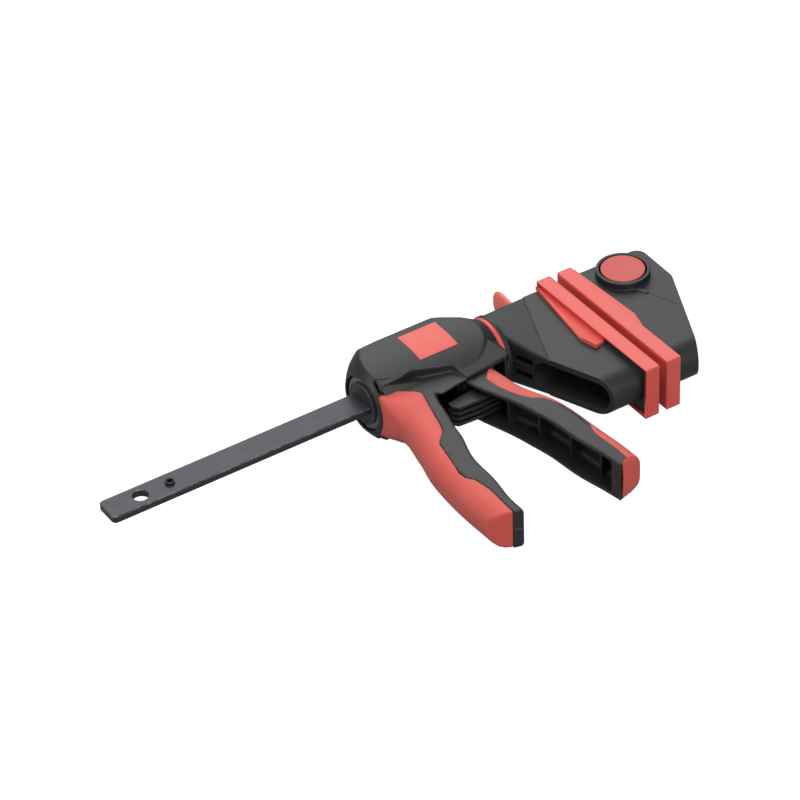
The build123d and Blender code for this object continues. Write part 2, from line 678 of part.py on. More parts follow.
with BuildPart() as handle_form:
    add(house_form.part)
    add(skirt_form.part)
    # side pocket above the grip
    for side in (1, -1):
        with BuildSketch(Plane.XY.offset(side * facet_top)):
            closed([(grip_x, -9), (grip_x + 9, -12.5), (grip_x + 17, -15), (grip_x + 27, -14.5),
                    (grip_x + 51, -21.7), (grip_x + 54.3, -34), (grip_x + 40, -45), (grip_x, -45)])
        extrude(amount=side * 20, mode=Mode.SUBTRACT)
    # the round root of the grip takes the place of the housing's edge
    with Locations((grip_x + barrel_from + barrel_long / 2, -30, 0)):
        Box(barrel_long, 32, 2 * barrel_half, mode=Mode.SUBTRACT)
    add(grip_form.part)
    add(grip_cover.part, mode=Mode.SUBTRACT)
    # bearing bores and front counterbore
    with BuildSketch(Plane.YZ.offset(house_front - 1)):
        Circle(core_r + running_fit)
    extrude(amount=house_rear - house_front + 2, mode=Mode.SUBTRACT)
    with BuildSketch(Plane.YZ.offset(house_front - 1)):
        Circle(washer_r + free_gap)
    extrude(amount=clip_x - house_front + 1 + clip_wide + washer_thick + 0.1, mode=Mode.SUBTRACT)
    # room for the yoke, the trigger and its fins
    add(room.part, mode=Mode.SUBTRACT)
    with BuildSketch():
        closed([(grip_x + 31, -12.5), (room_right - 1, -12.5), (room_right - 1, -45), (grip_x + 31, -45)])
    extrude(amount=trigger_half + 0.6, both=True, mode=Mode.SUBTRACT)
    with BuildSketch():
        closed([(grip_x + 9, -17), (grip_x + 40, -17), (grip_x + 40, -56), (grip_x + 26, -53),
                (grip_x + 9, -36)])
    extrude(amount=fin_pitch * (fin_count - 1) / 2 + fin_thick / 2 + 0.8, both=True, mode=Mode.SUBTRACT)
    add(boss_form.part)
    with BuildSketch(Plane.XY.offset(-pivot_half - 0.2)):
        with Locations(pivot):
            Circle(pivot_r)
    extrude(amount=2 * (pivot_half + 0.2), mode=Mode.SUBTRACT)

with BuildPart() as handle_upper:
    add(handle_form.part)
    split(bisect_by=Plane.XY, keep=Keep.TOP)
handle_upper.part.label = "handle_upper"

with BuildPart() as handle_lower:
    add(handle_form.part)
    split(bisect_by=Plane.XY, keep=Keep.BOTTOM)
handle_lower.part.label = "handle_lower"

with BuildPart() as pivot_pin:
    with BuildSketch(Plane.XY.offset(-pivot_half)):
        with Locations(pivot):
            Circle(pivot_r)
    extrude(amount=2 * pivot_half)
pivot_pin.part.label = "pivot_pin"

# ---------------------------------------------------------------- trigger
trigger_x = house_rear - 36.4
# Y, rear and front from trigger_x, half thickness
trigger_stations = [(-26, -2.8, 24.2, trigger_half), (-35, 0.0, 25.2, trigger_half),
                    (-45, 3.0, 26.3, 13.4), (-58, 7.8, 28.6, 13.9), (-72, 12.4, 34.0, 14.4),
                    (-84, 15.3, 37.6, 14.7), (-100, 18.5, 39.6, 14.9), (-115, 20.0, 40.8, 15.0),
                    (-131, 22.8, 42.4, 15.0), (-148, 26.1, 43.9, 14.6), (-160, 28.2, 44.0, 14.2)]
# the end of the lever, from the rear to the front
trigger_end = [(25.6, -157.0), (27.2, -155.8), (31.8, -153.8), (40.6, -152.6), (46.0, -152.8)]
trigger_back_r = 1.2
trigger_front_r = 9.0
hollow_front_r = 4.0

with BuildPart() as trigger_end_form:
    with BuildSketch(Plane.XY.offset(-house_half)):
        closed([(trigger_x - 40, 0), (trigger_x - 40, trigger_end[0][1])]
               + [(trigger_x + dx, y) for dx, y in trigger_end]
               + [(trigger_x + 70, -153), (trigger_x + 70, 0)])
    extrude(amount=2 * house_half)

with BuildPart() as trigger_form:
    for y, back, front, half in trigger_stations:
        add(lever_section(y, trigger_x + back, trigger_x + front, half, trigger_back_r, trigger_front_r))
    loft()
    add(trigger_end_form.part, mode=Mode.INTERSECT)
    # shoulder that joins the arms above the lever
    with BuildSketch(Plane.XY.offset(-yoke_out)):
        closed([(pivot[0] + 1.4, -19.6), (trigger_x + 23.8, -19.6), (trigger_x + 24, -21.4),
                (pivot[0] + 1.4, -21.4)])
    extrude(amount=2 * yoke_out)
    with BuildSketch(Plane.XY.offset(-trigger_half)):
        closed([(pivot[0] + 1.4, -19.6), (trigger_x + 23.8, -19.6), (trigger_x + 24.2, -27),
                (trigger_x - 2.6, -27), (pivot[0] + 1.4, -22.2)])
    extrude(amount=2 * trigger_half)

with BuildPart() as trigger_inner:
    for y, back, front, half in trigger_stations:
        add(lever_section(y, trigger_x + back - 6, trigger_x + front - trigger_skin, half - trigger_skin,
                          trigger_back_r, trigger_front_r - trigger_skin))
    loft()

hollow_top = -31.0
hollow_low = trigger_end[-1][1] + trigger_tip
with BuildPart() as trigger_hollow:
    for y, back, front, half in trigger_stations:
        add(lever_section(min(y, hollow_top) if y > -35 else y, trigger_x + back - 6,
                          trigger_x + front - trigger_front, half - trigger_wall, 1.0, hollow_front_r))
    loft()
    with Locations((trigger_x, hollow_low + house_far * 4, 0)):
        Box(200, house_far * 8, 4 * trigger_half, mode=Mode.INTERSECT)

with BuildPart() as trigger_ribs:
    with BuildSketch(Plane.XY):
        for y in rib_stations:
            with Locations((trigger_x + 20, y)):
                Rectangle(60, rib_thick)
    extrude(amount=trigger_half + 1, both=True)
    add(trigger_hollow.part.moved(Location((rib_sunk + 6, 0, 0))), mode=Mode.INTERSECT)
    add(trigger_form.part, mode=Mode.INTERSECT)

nose_x = pivot[0] - 1.4
nose_r = nose_x - thrust_x - thrust_wide - free_gap
with BuildPart() as trigger_yoke:
    with BuildSketch(Plane.XY.offset(-yoke_out)):
        with Locations(pivot):
            Circle(yoke_eye)
        with Locations((nose_x, 0)):
            Circle(nose_r)
        closed([(pivot[0] - 4.6, pivot_y), (pivot[0] + 4.6, pivot_y), (nose_x + nose_r, 0),
                (trigger_x + 24, -21), (pivot[0] - 0.4, -21), (pivot[0] - 0.8, -12),
                (nose_x - 0.7 * nose_r, -0.7 * nose_r), (nose_x - nose_r, 0)])
        with Locations(pivot):
            Circle(pivot_r + running_fit, mode=Mode.SUBTRACT)
    extrude(amount=2 * yoke_out)
    with BuildSketch(Plane.XY.offset(-yoke_in)):
        with Locations((pivot[0], 0)):
            Rectangle(60, 43)
    extrude(amount=2 * yoke_in, mode=Mode.SUBTRACT)

trigger_edge = [(19.0, -29.0), (11.0, -38.0), (12.0, -49.0), (15.0, -59.0), (18.0, -66.0), (22.0, -72.0),
                (27.4, -76.0), (33.0, -87.0), (36.0, -103.0), (35.6, -113.0), (32.4, -121.0),
                (32.4, -129.0), (34.0, -142.0), (34.4, -165.0)]
with BuildPart() as trigger_cover:
    add(trigger_form.part)
    with BuildSketch(Plane.XY.offset(-30)):
        closed([(trigger_x + dx, y) for dx, y in trigger_edge]
               + [(trigger_x + 70, -165), (trigger_x + 70, -29)])
    extrude(amount=60, mode=Mode.INTERSECT)
    add(trigger_inner.part, mode=Mode.SUBTRACT)
trigger_cover.part.label = "trigger_cover"

with BuildPart() as trigger:
    add(trigger_form.part)
    add(trigger_hollow.part, mode=Mode.SUBTRACT)
    add(trigger_ribs.part)
    add(trigger_cover.part, mode=Mode.SUBTRACT)
    add(trigger_yoke.part)
    # fins that close the gap to the grip
    for level in range(fin_count):
        with BuildSketch(Plane.XY.offset((level - (fin_count - 1) / 2) * fin_pitch - fin_thick / 2)):
            closed([(trigger_x - 18, -38.6), (trigger_x, -36), (trigger_x + 20, -34),
                    (trigger_x + 20.5, -46), (trigger_x + 1, -47.4), (trigger_x - 15, -46.4),
                    (trigger_x - 18, -43)])
        extrude(amount=fin_thick)
trigger.part.label = "trigger"

# ---------------------------------------------------------------- export
os.makedirs("parts", exist_ok=True)
for piece in (bar, stop_pin, *pads.values(), fixed_jaw, lock_button, lock_pin, lock_spring,
              sliding_jaw, brake_plate, release_lever, brake_spring, guide_core, swivel_ring,
              retaining_clip, front_washer, drive_plate, thrust_ring, drive_spring, grip_cover,
              handle_upper, handle_lower, pivot_pin, trigger_cover, trigger):
    export_step(piece.part, "parts/" + piece.part.label + ".step")
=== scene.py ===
# %% [markdown]
# # A one-handed bar clamp, dressed in Blender
# The clamp lies on its side. Its solids come from the CAD frame, which also carries the joints, so nothing
# here is moved to fit: each node gets its finish, and the small things that CAD leaves out, such as the
# bare plate and the screws, are built on top of it. Everything is in metres. X runs along the bar to the
# fixed jaw, -Y is the reach of the jaws and the grip, and Z is up.

# %% Load the frame
from math import cos, radians, sin

import bmesh
import bpy
from mathutils import Matrix, Vector


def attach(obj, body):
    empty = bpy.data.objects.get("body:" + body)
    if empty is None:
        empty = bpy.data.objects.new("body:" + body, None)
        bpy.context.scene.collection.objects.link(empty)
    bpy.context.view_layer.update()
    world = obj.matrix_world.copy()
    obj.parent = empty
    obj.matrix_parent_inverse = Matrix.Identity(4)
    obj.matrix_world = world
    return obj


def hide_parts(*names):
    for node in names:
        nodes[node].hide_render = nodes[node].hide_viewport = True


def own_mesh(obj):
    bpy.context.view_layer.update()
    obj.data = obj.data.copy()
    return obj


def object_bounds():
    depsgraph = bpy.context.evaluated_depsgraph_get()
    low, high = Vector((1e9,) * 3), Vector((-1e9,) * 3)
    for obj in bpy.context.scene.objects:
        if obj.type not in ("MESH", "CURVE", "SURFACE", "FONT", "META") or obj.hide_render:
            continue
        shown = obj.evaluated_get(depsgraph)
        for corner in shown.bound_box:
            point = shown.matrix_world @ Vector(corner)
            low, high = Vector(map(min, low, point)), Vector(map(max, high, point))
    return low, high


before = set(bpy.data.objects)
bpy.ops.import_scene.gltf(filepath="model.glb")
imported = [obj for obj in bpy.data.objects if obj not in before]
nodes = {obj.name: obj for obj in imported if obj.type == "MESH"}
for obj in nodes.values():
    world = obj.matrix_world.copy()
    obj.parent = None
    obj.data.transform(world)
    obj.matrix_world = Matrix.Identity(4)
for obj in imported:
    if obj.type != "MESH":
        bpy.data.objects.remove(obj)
cad_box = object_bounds()
low, high = [Vector(corner) for corner in cad_box]
print("nodes", len(nodes), "size in mm", [round(1000 * side) for side in high - low])

mm = 0.001

# %% [markdown]
# ## The way it is seen
# A product picture is taken with a long lens, so that the near end doesn't swell. The camera's place is
# given as a turn round the object, a height above the table, a small roll and a distance. Its axes are
# worked out from those angles, which is easier to adjust than a place and three Euler angles.

# %% Camera
camera_turn = radians(31.92)        # how far the line of sight is turned from +Y towards +X
camera_height = radians(37.65)      # how steeply it looks down
camera_roll = radians(2.45)
camera_distance = 2.1986
camera_aim = Vector((181.6, -6.9, -3.4)) * mm
lens_per_frame = 4.431              # focal length in widths of the frame
sensor_width = 36

sight = Vector((sin(camera_turn) * cos(camera_height), cos(camera_turn) * cos(camera_height),
                -sin(camera_height)))
level_right = Vector((cos(camera_turn), -sin(camera_turn), 0))
level_up = level_right.cross(sight)
camera_right = level_right * cos(camera_roll) - level_up * sin(camera_roll)
camera_up = level_right * sin(camera_roll) + level_up * cos(camera_roll)

camera_data = bpy.data.cameras.new("camera")
camera_data.sensor_width = sensor_width
camera_data.lens = sensor_width * lens_per_frame
camera_data.clip_end = 20
camera = bpy.data.objects.new("camera", camera_data)
bpy.context.scene.collection.objects.link(camera)
camera_place = camera_aim - sight * camera_distance
camera_axes = Matrix((camera_right, camera_up, -sight)).transposed()
camera.matrix_world = Matrix.Translation(camera_place) @ camera_axes.to_4x4()
bpy.context.scene.camera = camera
bpy.context.scene.view_settings.view_transform = "Standard"
print("camera stands at", [round(value, 3) for value in camera_place])

# %% [markdown]
# ## Helpers for finishes
# A finish is a tree of shader nodes. One helper adds a node, sets what is given by name, and links what is
# given as another node's output. Colours are written as the hex values a paint chart gives, and those are
# sRGB, so one function turns them into the linear light that shaders work in.


# %% Node helper and colours
def add_node(tree, kind, inputs=None, **settings):
    """Add one shader node with its settings, and link or set its inputs."""
    made = tree.nodes.new(kind)
    for name, value in settings.items():
        setattr(made, name, value)
    for name, value in (inputs or {}).items():
        if isinstance(value, bpy.types.NodeSocket):
            tree.links.new(value, made.inputs[name])
        else:
            made.inputs[name].default_value = value
    return made


def linear(hex_colour):
    """A linear RGBA colour from an sRGB hex value such as 'C8584F'."""
    parts = [int(hex_colour[at:at + 2], 16) / 255 for at in (0, 2, 4)]
    return [part / 12.92 if part <= 0.04045 else ((part + 0.055) / 1.055) ** 2.4 for part in parts] + [1]


def new_finish(name):
    """An empty material with its surface node, ready for a finish to be built into."""
    material = bpy.data.materials.new(name)
    material.use_nodes = True
    tree = material.node_tree
    tree.nodes.clear()
    output = add_node(tree, "ShaderNodeOutputMaterial")
    surface = add_node(tree, "ShaderNodeBsdfPrincipled")
    tree.links.new(surface.outputs["BSDF"], output.inputs["Surface"])
    return material, tree, surface


# %% [markdown]
# ## Rubbed edges
# Tools get paler along their edges, where they rub on a bench. The Bevel node rounds the normal near an
# edge, so the places where that normal leaves the true one are the edges. Noise a few millimetres across
# breaks the line up, because only parts of an edge are ever rubbed.


# %% Rubbed edges
def rub_edges(tree, surface, tint, place, soft_edge, rubbed_colour, patch_mm=6):
    """Mix a paler colour into a finish along its edges, in patches."""
    true_normal = add_node(tree, "ShaderNodeNewGeometry")
    alike = add_node(tree, "ShaderNodeVectorMath",
                     {0: soft_edge.outputs["Normal"], 1: true_normal.outputs["Normal"]},
                     operation="DOT_PRODUCT")
    edge = add_node(tree, "ShaderNodeMapRange", {"Value": alike.outputs["Value"], "From Min": 0.995,
                                                 "From Max": 0.9})
    rubs = add_node(tree, "ShaderNodeTexNoise", {"Vector": place.outputs["Object"],
                                                 "Scale": 1 / (patch_mm * mm), "Detail": 4.0, "Roughness": 0.7})
    patches = add_node(tree, "ShaderNodeMapRange", {"Value": rubs.outputs["Fac"], "From Min": 0.4,
                                                    "From Max": 0.62})
    worn = add_node(tree, "ShaderNodeMath", {0: edge.outputs["Result"], 1: patches.outputs["Result"]},
                    operation="MULTIPLY")
    mixed = add_node(tree, "ShaderNodeMix", {"Factor": worn.outputs["Value"]}, data_type="RGBA")
    tree.links.new(tint.outputs["Result"], mixed.inputs["A"])
    mixed.inputs["B"].default_value = linear(rubbed_colour)
    tree.links.new(mixed.outputs["Result"], surface.inputs["Base Color"])


# %% [markdown]
# ## Moulded plastic
# The housing, the jaws and the trigger are polyamide filled with glass fibre. The mould is spark eroded,
# which leaves a fine even grain: the surface has a soft, wide highlight. The same recipe with another colour
# and another grain makes the smoother polypropylene of the pads. The grain of a real mould is about 0.2 mm,
# which is finer than a pixel here, so it is drawn at about 0.5 mm to show at all.


# %% Moulded plastic
handling_mm = 35


def moulded_plastic(name, colour, worn_colour, rubbed_colour, roughness, grain_mm, grain_height, ior=1.5,
                    edge_mm=0.5):
    """Plastic from a textured mould, with slightly paler handling marks and softened edges."""
    material, tree, surface = new_finish(name)
    place = add_node(tree, "ShaderNodeTexCoord")
    # handling leaves broad, faint, paler areas a few centimetres across
    marks = add_node(tree, "ShaderNodeTexNoise", {"Vector": place.outputs["Object"],
                                                  "Scale": 1 / (handling_mm * mm), "Detail": 3.0,
                                                  "Roughness": 0.55})
    spread = add_node(tree, "ShaderNodeMapRange", {"Value": marks.outputs["Fac"], "From Min": 0.35,
                                                   "From Max": 0.75})
    tint = add_node(tree, "ShaderNodeMix", {"Factor": spread.outputs["Result"]}, data_type="RGBA")
    tint.inputs["A"].default_value = linear(colour)
    tint.inputs["B"].default_value = linear(worn_colour)
    gloss = add_node(tree, "ShaderNodeMapRange", {"Value": marks.outputs["Fac"], "To Min": roughness - 0.05,
                                                  "To Max": roughness + 0.05})
    tree.links.new(gloss.outputs["Result"], surface.inputs["Roughness"])
    grain = add_node(tree, "ShaderNodeTexNoise", {"Vector": place.outputs["Object"],
                                                  "Scale": 1 / (grain_mm * mm), "Detail": 1.0})
    soft_edge = add_node(tree, "ShaderNodeBevel", {"Radius": edge_mm * mm}, samples=4)
    rub_edges(tree, surface, tint, place, soft_edge, rubbed_colour)
    bump = add_node(tree, "ShaderNodeBump", {"Height": grain.outputs["Fac"], "Distance": grain_height * mm,
                                             "Strength": 0.5, "Normal": soft_edge.outputs["Normal"]})
    tree.links.new(bump.outputs["Normal"], surface.inputs["Normal"])
    surface.inputs["IOR"].default_value = ior
    return material


# %% Plastics of the clamp
# a deep black that the grain makes grey in the light
black_colours = ("18191B", "202123", "45464A")
black_polyamide = moulded_plastic("black_glass_filled_polyamide", *black_colours, 0.50, 0.5, 0.03, 1.53)
# the housing is the same plastic, but its edges are rounded more, so it has a finish of its own
housing_polyamide = moulded_plastic("black_polyamide_soft_edges", *black_colours, 0.50, 0.5, 0.03, 1.53, 2.0)
# smoother than the black, so its highlight is a little tighter
red_polypropylene = moulded_plastic("red_polypropylene", "D6534B", "DA5C53", "E2746B", 0.42, 0.6, 0.02, 1.49)
# the lever is thin and lets some light through; that light is painted into its colour, so it is paler than the
# thick pads
painted_backlit_polypropylene = moulded_plastic("red_polypropylene_painted_backlit", "E96F64", "EC766B", "EE8378", 0.42, 0.6, 0.02,
                                     1.49)
# thumbs leave the button a little darker and duller
thumbed_polypropylene = moulded_plastic("thumbed_red_polypropylene", "BE4B47", "C2524E", "CC625E", 0.5, 0.6,
                                        0.02, 1.49)
print("plastics", [material.name for material in bpy.data.materials])

# %% [markdown]
# ## Soft overmould
# The grip and the front of the trigger are covered with a thermoplastic elastomer, moulded over the black
# core. It is the same red, but duller: light goes a little way in, and the fine matt texture spreads the
# highlight. A little sheen gives the pale edge that rubbery surfaces show when seen at a slant.

# %% Soft red elastomer
red_elastomer = moulded_plastic("soft_red_elastomer", "C94F46", "CE5950", "D2655C", 0.62, 0.45, 0.03, 1.48,
                                0.8)
for shader in red_elastomer.node_tree.nodes:
    if shader.type == "BSDF_PRINCIPLED":
        shader.inputs["Sheen Weight"].default_value = 0.12
        shader.inputs["Sheen Roughness"].default_value = 0.5
        print(red_elastomer.name, "with a little sheen")

# %% [markdown]
# ## Steel
# The bar is cold-drawn flat steel, burnished: dipped in hot salts until it is blue-black, then oiled. Drawing
# leaves fine lines along it. The small hidden pieces are plain machined steel, and the springs are drawn
# wire. All of them come from one recipe: a metal whose lines run along one axis. Metals keep the default
# IOR, because their colour sets how they reflect.


# %% Drawn steel
def drawn_steel(name, colour, line_colour, roughness, line_mm, stretch, metallic=1.0, edge_mm=0.3,
                worn_colour="A9AAAD"):
    """Steel with fine lines along the axis that stretch makes long, and edges rubbed bright in places."""
    material, tree, surface = new_finish(name)
    place = add_node(tree, "ShaderNodeTexCoord")
    along = add_node(tree, "ShaderNodeMapping", {"Vector": place.outputs["Object"], "Scale": stretch})
    lines = add_node(tree, "ShaderNodeTexNoise", {"Vector": along.outputs["Vector"],
                                                  "Scale": 1 / (line_mm * mm), "Detail": 4.0,
                                                  "Roughness": 0.6})
    spread = add_node(tree, "ShaderNodeMapRange", {"Value": lines.outputs["Fac"], "From Min": 0.3,
                                                   "From Max": 0.7})
    tint = add_node(tree, "ShaderNodeMix", {"Factor": spread.outputs["Result"]}, data_type="RGBA")
    tint.inputs["A"].default_value = linear(colour)
    tint.inputs["B"].default_value = linear(line_colour)
    gloss = add_node(tree, "ShaderNodeMapRange", {"Value": lines.outputs["Fac"], "To Min": roughness - 0.06,
                                                  "To Max": roughness + 0.06})
    tree.links.new(gloss.outputs["Result"], surface.inputs["Roughness"])
    soft_edge = add_node(tree, "ShaderNodeBevel", {"Radius": edge_mm * mm}, samples=4)
    rub_edges(tree, surface, tint, place, soft_edge, worn_colour)
    bump = add_node(tree, "ShaderNodeBump", {"Height": lines.outputs["Fac"], "Distance": 0.01 * mm,
                                             "Strength": 0.5, "Normal": soft_edge.outputs["Normal"]})
    tree.links.new(bump.outputs["Normal"], surface.inputs["Normal"])
    surface.inputs["Metallic"].default_value = metallic
    return material


# %% Steels of the clamp
# blue-black, with lines that run a long way along X
burnished_bar = drawn_steel("burnished_drawn_bar", "3A3B3F", "4C4D51", 0.42, 0.7, (0.04, 1, 1), 0.75, 0.7)
# ground and cut faces stay bright, and wire is darker from the draw plate
machined_steel = drawn_steel("machined_steel", "8C8D90", "9A9B9E", 0.35, 0.5, (1, 0.1, 0.1))
spring_wire = drawn_steel("drawn_spring_wire", "77787B", "88898C", 0.3, 0.3, (1, 1, 1))
# oil-blackened and phosphated steel look dull, so they are only partly metallic
blackened_steel = drawn_steel("blackened_spring_steel", "232426", "2C2D2F", 0.5, 0.5, (1, 1, 1), 0.6,
                              worn_colour="55565A")
phosphated_steel = drawn_steel("phosphated_steel", "3F4043", "4A4B4E", 0.5, 0.5, (1, 1, 1), 0.6)
print("finishes so far", len(bpy.data.materials))

# %% [markdown]
# ## Dressing the nodes
# Each node keeps its shape and its body, and only its material changes. Faces that are nearly flush are
# shaded smooth, and the real corners stay sharp.

# %% Finish of each node
flush_degrees = 32                  # faces that meet at less than this are one smooth surface
finish_of = {
    burnished_bar: ["bar"],
    spring_wire: ["lock_spring", "brake_spring", "drive_spring", "retaining_clip"],
    machined_steel: ["lock_pin", "brake_plate", "front_washer", "drive_plate", "thrust_ring", "pivot_pin"],
    phosphated_steel: ["guide_core"],
    blackened_steel: ["stop_pin"],
    black_polyamide: ["fixed_jaw", "sliding_jaw", "trigger"],
    housing_polyamide: ["handle_upper", "handle_lower"],
    red_polypropylene: ["fixed_pad", "sliding_pad", "lock_button", "release_lever", "swivel_ring"],
    red_elastomer: ["grip_cover", "trigger_cover"],
}
for finish, names in finish_of.items():
    for name in names:
        mesh = nodes[name].data
        mesh.materials.clear()
        mesh.materials.append(finish)
        mesh.shade_smooth()
        mesh.set_sharp_from_angle(angle=radians(flush_degrees))
print("dressed", sum(len(names) for names in finish_of.values()), "of", len(nodes), "nodes")

# %% [markdown]
# ## Pieces that stand for a node
# A few forms are softer on the real clamp than a solid modeller makes them: the overmould flows out at its
# borders, and the thumb lever is rounded like a pebble. Such a piece starts as a copy of its node's mesh, so
# it is in the right place from the start. The importer gives each flat face its own corner points, so these
# are joined first, and only then is the skin closed enough to be rebuilt.


# %% Copies and new pieces
def closed_copy(node_name):
    """A node's shape as a bmesh, with the seams between its faces closed."""
    form = bmesh.new()
    form.from_mesh(nodes[node_name].data)
    bmesh.ops.remove_doubles(form, verts=form.verts, dist=0.002 * mm)
    return form


def new_piece(name, form, finish, body, sharp_degrees=flush_degrees):
    """Turn a bmesh into a piece that rides on a body and takes its finish from a slot."""
    mesh = bpy.data.meshes.new(name)
    form.to_mesh(mesh)
    form.free()
    mesh.materials.append(finish)
    mesh.shade_smooth()
    mesh.set_sharp_from_angle(angle=radians(sharp_degrees))
    piece = bpy.data.objects.new(name, mesh)
    bpy.context.scene.collection.objects.link(piece)
    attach(piece, body)
    return piece


def apply_modifiers(piece):
    """Keep what a piece's modifiers make as its mesh."""
    finished = piece.evaluated_get(bpy.context.evaluated_depsgraph_get())
    skin = bpy.data.meshes.new_from_object(finished)
    piece.modifiers.clear()
    piece.data = skin
    print(piece.name, "has", len(skin.polygons), "faces")


def rebuild_skin(piece, cell_mm, rounds):
    """Rebuild a piece from small cells and smooth it."""
    cells = piece.modifiers.new("cells", "REMESH")
    cells.mode = "VOXEL"
    cells.voxel_size = cell_mm * mm
    cells.use_smooth_shade = True
    flow = piece.modifiers.new("flow", "SMOOTH")
    flow.factor = 0.5
    flow.iterations = rounds
    apply_modifiers(piece)
    piece.data.shade_smooth()


def cut_opening(piece, from_mm, to_mm):
    """Cut a box-shaped opening, given by its two corners, out of a closed piece."""
    first, last = Vector(from_mm), Vector(to_mm)
    block = bmesh.new()
    bmesh.ops.create_cube(block, size=mm, matrix=Matrix.Translation((first + last) / 2 * mm)
                          @ Matrix.Diagonal((*(last - first), 1)))
    opening_mesh = bpy.data.meshes.new("opening")
    block.to_mesh(opening_mesh)
    block.free()
    opening = bpy.data.objects.new("opening", opening_mesh)
    bpy.context.scene.collection.objects.link(opening)
    cut = piece.modifiers.new("cut", "BOOLEAN")
    cut.operation, cut.solver, cut.object = "DIFFERENCE", "EXACT", opening
    apply_modifiers(piece)
    piece.data.set_sharp_from_angle(angle=radians(45))
    bpy.data.objects.remove(opening)


def hull_form(points_mm):
    """The convex hull of a few points."""
    form = bmesh.new()
    corners = [form.verts.new(Vector(point) * mm) for point in points_mm]
    bmesh.ops.convex_hull(form, input=corners)
    return form


# %% [markdown]
# ## The soft cover of the grip
# The cover is one skin of elastomer from the ring at the housing's front down to the end of the grip. In CAD
# its root, which is turned about the bar, meets the palm in a crease. A convex hull of the root's corners
# fills that crease. Rebuilding copy and hull together from small cells makes them one skin, and a few rounds
# of smoothing give the border the soft lip that a real overmould has. The hull also fills the slot that the
# trigger's fins enter when it is squeezed, so that slot is cut out again at the end.

# %% Grip cover
grip_root_end = -37 * mm            # how far along the grip the hull of the root goes
root_x, root_radius = 159.7, 22.3   # where the root meets the ring at the housing's front
border_proud = 0.35 * mm            # how far the root's border stands out from the housing
fin_slot = (168.0, -38.0, -7.6), (200.0, -12.0, 7.6)

grip_form = closed_copy("grip_cover")
root_corners = [grip_form.verts.new(corner.co) for corner in list(grip_form.verts)
                if corner.co.y > grip_root_end and corner.co.x > 160 * mm]
for turn in range(-9, 10):
    angle = radians(4.7 * turn)
    root_corners.append(grip_form.verts.new(
        Vector((root_x, -root_radius * cos(angle), root_radius * sin(angle))) * mm))
for corner in root_corners:
    if abs(corner.co.z) > 14 * mm:
        corner.co.z += border_proud if corner.co.z > 0 else -border_proud
hull = bmesh.ops.convex_hull(grip_form, input=root_corners)
spare = [item for item in hull["geom_interior"] + hull["geom_unused"] if isinstance(item, bmesh.types.BMVert)]
bmesh.ops.delete(grip_form, geom=list(set(spare)), context="VERTS")
grip_skin = new_piece("grip_skin", grip_form, red_elastomer, "handle")
rebuild_skin(grip_skin, 0.7, 10)
cut_opening(grip_skin, *fin_slot)
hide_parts("grip_cover")

# %% [markdown]
# ## The soft cover of the trigger
# On the trigger the elastomer wraps the whole end as well, where the fingers slip off. The end faces of the
# trigger are copied and given a thickness, half sunk into the plastic, and then joined to the cover in the
# same way as on the grip.

# %% Trigger cover
end_wrap = 0.5 * mm                 # how far the wrap stands out from the plastic
end_sunk = 1.0 * mm
end_bulge = 1.7 * mm                # how much rounder than the plastic its middle is
wrap_start = 243.6 * mm             # the black rim behind it stays bare

trigger_form = closed_copy("trigger")
end_faces = [face for face in trigger_form.faces
             if face.normal.y < -0.6 and face.calc_center_median().y < -149 * mm]
kept = set(end_faces)
bmesh.ops.delete(trigger_form, geom=[face for face in trigger_form.faces if face not in kept],
                 context="FACES")
bmesh.ops.bisect_plane(trigger_form, plane_co=(wrap_start, 0, 0), plane_no=(1, 0, 0), clear_inner=True,
                       geom=trigger_form.verts[:] + trigger_form.edges[:] + trigger_form.faces[:])
for corner in trigger_form.verts:
    corner.co.y += end_sunk
solid = bmesh.ops.extrude_face_region(trigger_form, geom=trigger_form.faces[:], use_keep_orig=True)
for item in solid["geom"]:
    if isinstance(item, bmesh.types.BMVert):
        item.co.y -= end_sunk + end_wrap
bmesh.ops.recalc_face_normals(trigger_form, faces=trigger_form.faces)
print("end wrap from", len(end_faces), "faces")
trigger_form.from_mesh(nodes["trigger_cover"].data)
bmesh.ops.remove_doubles(trigger_form, verts=trigger_form.verts, dist=0.002 * mm)
trigger_skin = new_piece("trigger_skin", trigger_form, red_elastomer, "trigger_body")
rebuild_skin(trigger_skin, 0.5, 4)
for corner in trigger_skin.data.vertices:
    place = corner.co / mm
    near_end = min(1.0, max(0.0, (-150.5 - place.y) / 2.5))
    bulge = max(0.0, 1 - (place.z / 14.8) ** 2) * max(0.0, 1 - ((place.x - 250.5) / 9.5) ** 2) ** 0.5
    corner.co.y = max(corner.co.y - end_bulge * near_end * bulge, low.y)
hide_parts("trigger_cover")

# %% [markdown]
# ## The release lever
# The thumb pushes this paddle. It is widest in the middle and thins out to its rim, so it is made as a loft:
# closed rings along its length, each an ellipse in cross-section, whose width follows a rounded arch and runs
# out at the tip.

# %% Release lever
lever_lean = radians(7)             # as the brake plate leans at rest
lever_foot = Vector((279.7, -14.5, 0)) * mm
lever_along = Vector((sin(lever_lean), cos(lever_lean), 0))
lever_across = Vector((cos(lever_lean), -sin(lever_lean), 0))
lever_from, lever_arch, lever_tip = 33 * mm, 42 * mm, 57.6 * mm
lever_half, lever_thick = 11.2 * mm, 2.9 * mm
ring_points = 40

